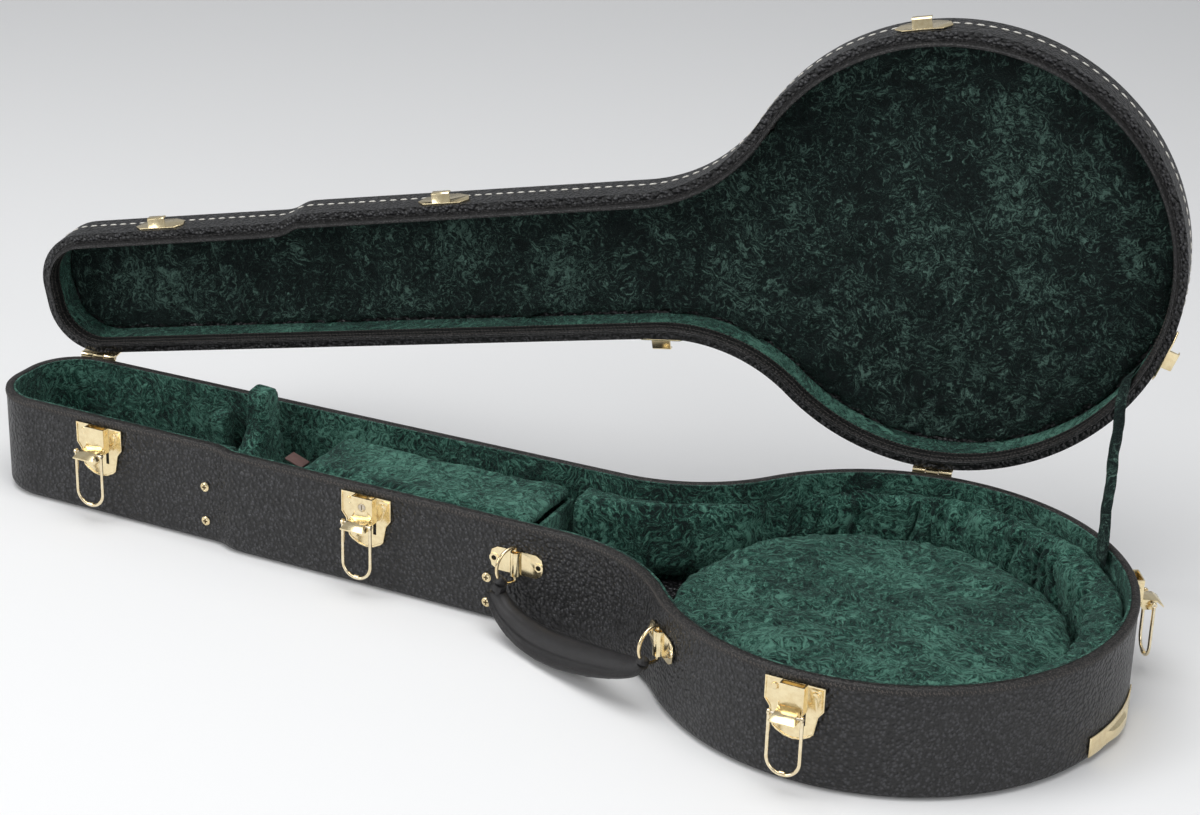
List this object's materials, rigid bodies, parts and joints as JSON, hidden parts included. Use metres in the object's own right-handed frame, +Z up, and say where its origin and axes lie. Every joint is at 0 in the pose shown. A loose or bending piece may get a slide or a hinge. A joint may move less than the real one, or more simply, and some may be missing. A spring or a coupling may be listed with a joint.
{
  "type": "banjo case",
  "caption": "Hard banjo case lying open: deep plush-lined base, shallow lid on a skewed hinge line, draw latches, ring handle, neck cradle and a small accessory compartment.",
  "frame": {"origin": "centre of the round end on the underside, the face the case lies on", "axes": "+X from the headstock end towards the round end, +Y towards the hinged side, +Z up"},
  "size_m": [1.1102, 0.508, 0.5176],
  "materials": {
    "vinyl_shell": "pebbled black vinyl over plywood",
    "edge_binding": "grey-black stitched binding",
    "plush_lining": "crushed green plush over foam",
    "gilt_hardware": "bright pale-gold plating",
    "steel_pins": "plain",
    "leather_grip": "smooth black, stitched",
    "leather_tab": "natural"
  },
  "bodies": {
    "base": {"base_bottom_panel": "vinyl_shell", "base_side_wall": "vinyl_shell", "base_rim_binding": "edge_binding", "base_wall_lining": "plush_lining", "pot_ring_pad": "plush_lining", "pot_floor_cushion": "plush_lining", "heel_pad_rear": "plush_lining", "heel_pad_front": "plush_lining", "compartment_tray": "plush_lining", "neck_pad_front": "plush_lining", "neck_cradle": "plush_lining", "headstock_floor_pad": "plush_lining", "headstock_rest_block": "plush_lining", "hinge_head_base_leaf": "gilt_hardware", "hinge_head_pin": "steel_pins", "hinge_pot_base_leaf": "gilt_hardware", "hinge_pot_pin": "steel_pins", "latch_1_plate": "gilt_hardware", "latch_2_plate": "gilt_hardware", "latch_3_plate": "gilt_hardware", "latch_4_plate": "gilt_hardware", "latch_5_plate": "gilt_hardware", "handle_bracket_head": "gilt_hardware", "handle_ring_head": "gilt_hardware", "handle_bracket_pot": "gilt_hardware", "handle_ring_pot": "gilt_hardware", "end_bumper": "gilt_hardware", "lid_stay_strap": "plush_lining"},
    "lid": {"lid_top_panel": "vinyl_shell", "lid_side_wall": "vinyl_shell", "lid_tongue": "edge_binding", "lid_wall_lining": "plush_lining", "lid_top_lining": "plush_lining", "hinge_head_lid_leaf": "gilt_hardware", "hinge_pot_lid_leaf": "gilt_hardware", "keeper_1": "gilt_hardware", "keeper_2": "gilt_hardware", "keeper_3": "gilt_hardware", "keeper_4": "gilt_hardware", "keeper_5": "gilt_hardware"},
    "compartment_lid": {"compartment_lid": "plush_lining", "compartment_pull_tab": "leather_tab"},
    "lever_1": {"latch_1_lever": "gilt_hardware"},
    "cross_pin_1": {"latch_1_cross_pin": "steel_pins"},
    "bail_1": {"latch_1_bail": "gilt_hardware"},
    "lever_2": {"latch_2_lever": "gilt_hardware"},
    "cross_pin_2": {"latch_2_cross_pin": "steel_pins"},
    "bail_2": {"latch_2_bail": "gilt_hardware"},
    "lever_3": {"latch_3_lever": "gilt_hardware"},
    "cross_pin_3": {"latch_3_cross_pin": "steel_pins"},
    "bail_3": {"latch_3_bail": "gilt_hardware"},
    "lever_4": {"latch_4_lever": "gilt_hardware"},
    "cross_pin_4": {"latch_4_cross_pin": "steel_pins"},
    "bail_4": {"latch_4_bail": "gilt_hardware"},
    "lever_5": {"latch_5_lever": "gilt_hardware"},
    "cross_pin_5": {"latch_5_cross_pin": "steel_pins"},
    "bail_5": {"latch_5_bail": "gilt_hardware"},
    "lock_plug": {"lock_plug": "steel_pins"},
    "handle_grip": {"handle_grip": "leather_grip"}
  },
  "joints": [
    {"name": "lid_hinge", "type": "hinge", "parent": "base", "child": "lid", "pos_m": [-0.84228, 0.0636, 0.0995], "axis": [0.9853, 0.1706, 0], "range_deg": [0, 88], "deforming": ["lid_stay_strap"]},
    {"name": "compartment_lid_hinge", "type": "hinge", "parent": "base", "child": "compartment_lid", "pos_m": [-0.31749, 0.0055, 0.0843], "axis": [0, -1, 0], "range_deg": [-70, 0]},
    {"name": "latch_1_lever_hinge", "type": "hinge", "parent": "base", "child": "lever_1", "pos_m": [-0.75208, -0.06921, 0.0705], "axis": [1, -0.0087, 0], "range_deg": [0, 92]},
    {"name": "latch_1_pin_hinge", "type": "hinge", "parent": "lever_1", "child": "cross_pin_1", "pos_m": [-0.75218, -0.08041, 0.0705], "axis": [-1, 0.0087, 0], "range_deg": [-30, 120]},
    {"name": "latch_1_bail_hinge", "type": "hinge", "parent": "cross_pin_1", "child": "bail_1", "pos_m": [-0.75218, -0.08041, 0.0705], "axis": [-1, 0.0087, 0], "range_deg": [0, 180]},
    {"name": "latch_2_lever_hinge", "type": "hinge", "parent": "base", "child": "lever_2", "pos_m": [-0.46107, -0.07925, 0.0705], "axis": [1, -0.0087, 0], "range_deg": [0, 92]},
    {"name": "latch_2_pin_hinge", "type": "hinge", "parent": "lever_2", "child": "cross_pin_2", "pos_m": [-0.46117, -0.09045, 0.0705], "axis": [-1, 0.0087, 0], "range_deg": [-30, 120]},
    {"name": "latch_2_bail_hinge", "type": "hinge", "parent": "cross_pin_2", "child": "bail_2", "pos_m": [-0.46117, -0.09045, 0.0705], "axis": [-1, 0.0087, 0], "range_deg": [0, 180]},
    {"name": "latch_3_lever_hinge", "type": "hinge", "parent": "base", "child": "lever_3", "pos_m": [-0.00367, -0.21047, 0.0705], "axis": [0.9998, -0.0175, 0], "range_deg": [0, 92]},
    {"name": "latch_3_pin_hinge", "type": "hinge", "parent": "lever_3", "child": "cross_pin_3", "pos_m": [-0.00387, -0.22167, 0.0705], "axis": [-0.9998, 0.0175, 0], "range_deg": [-30, 120]},
    {"name": "latch_3_bail_hinge", "type": "hinge", "parent": "cross_pin_3", "child": "bail_3", "pos_m": [-0.00387, -0.22167, 0.0705], "axis": [-0.9998, 0.0175, 0], "range_deg": [0, 180]},
    {"name": "latch_4_lever_hinge", "type": "hinge", "parent": "base", "child": "lever_4", "pos_m": [0.1823, 0.10525, 0.0705], "axis": [-0.5, 0.866, 0], "range_deg": [0, 92]},
    {"name": "latch_4_pin_hinge", "type": "hinge", "parent": "lever_4", "child": "cross_pin_4", "pos_m": [0.192, 0.11085, 0.0705], "axis": [0.5, -0.866, 0], "range_deg": [-30, 120]},
    {"name": "latch_4_bail_hinge", "type": "hinge", "parent": "cross_pin_4", "child": "bail_4", "pos_m": [0.192, 0.11085, 0.0705], "axis": [0.5, -0.866, 0], "range_deg": [0, 180]},
    {"name": "latch_5_lever_hinge", "type": "hinge", "parent": "base", "child": "lever_5", "pos_m": [-0.27259, 0.07511, 0.0705], "axis": [-0.997, -0.0779, 0], "range_deg": [0, 92]},
    {"name": "latch_5_pin_hinge", "type": "hinge", "parent": "lever_5", "child": "cross_pin_5", "pos_m": [-0.27346, 0.08628, 0.0705], "axis": [0.997, 0.0779, 0], "range_deg": [-30, 120]},
    {"name": "latch_5_bail_hinge", "type": "hinge", "parent": "cross_pin_5", "child": "bail_5", "pos_m": [-0.27346, 0.08628, 0.0705], "axis": [0.997, 0.0779, 0], "range_deg": [0, 180]},
    {"name": "lock_plug_turn", "type": "hinge", "parent": "base", "child": "lock_plug", "pos_m": [-0.46107, -0.07855, 0.083], "axis": [-0.0087, -1, 0], "range_deg": [0, 90]},
    {"name": "handle_grip_swing", "type": "hinge", "parent": "base", "child": "handle_grip", "pos_m": [-0.31332, -0.08097, 0.0626], "axis": [-0.9207, 0.3902, 0], "range_deg": [0, 90]}
  ],
  "couplings": [
    {"joint": "latch_1_pin_hinge", "follows": "latch_1_lever_hinge", "ratio": 1},
    {"joint": "latch_2_pin_hinge", "follows": "latch_2_lever_hinge", "ratio": 1},
    {"joint": "latch_3_pin_hinge", "follows": "latch_3_lever_hinge", "ratio": 1},
    {"joint": "latch_4_pin_hinge", "follows": "latch_4_lever_hinge", "ratio": 1},
    {"joint": "latch_5_pin_hinge", "follows": "latch_5_lever_hinge", "ratio": 1}
  ]
}
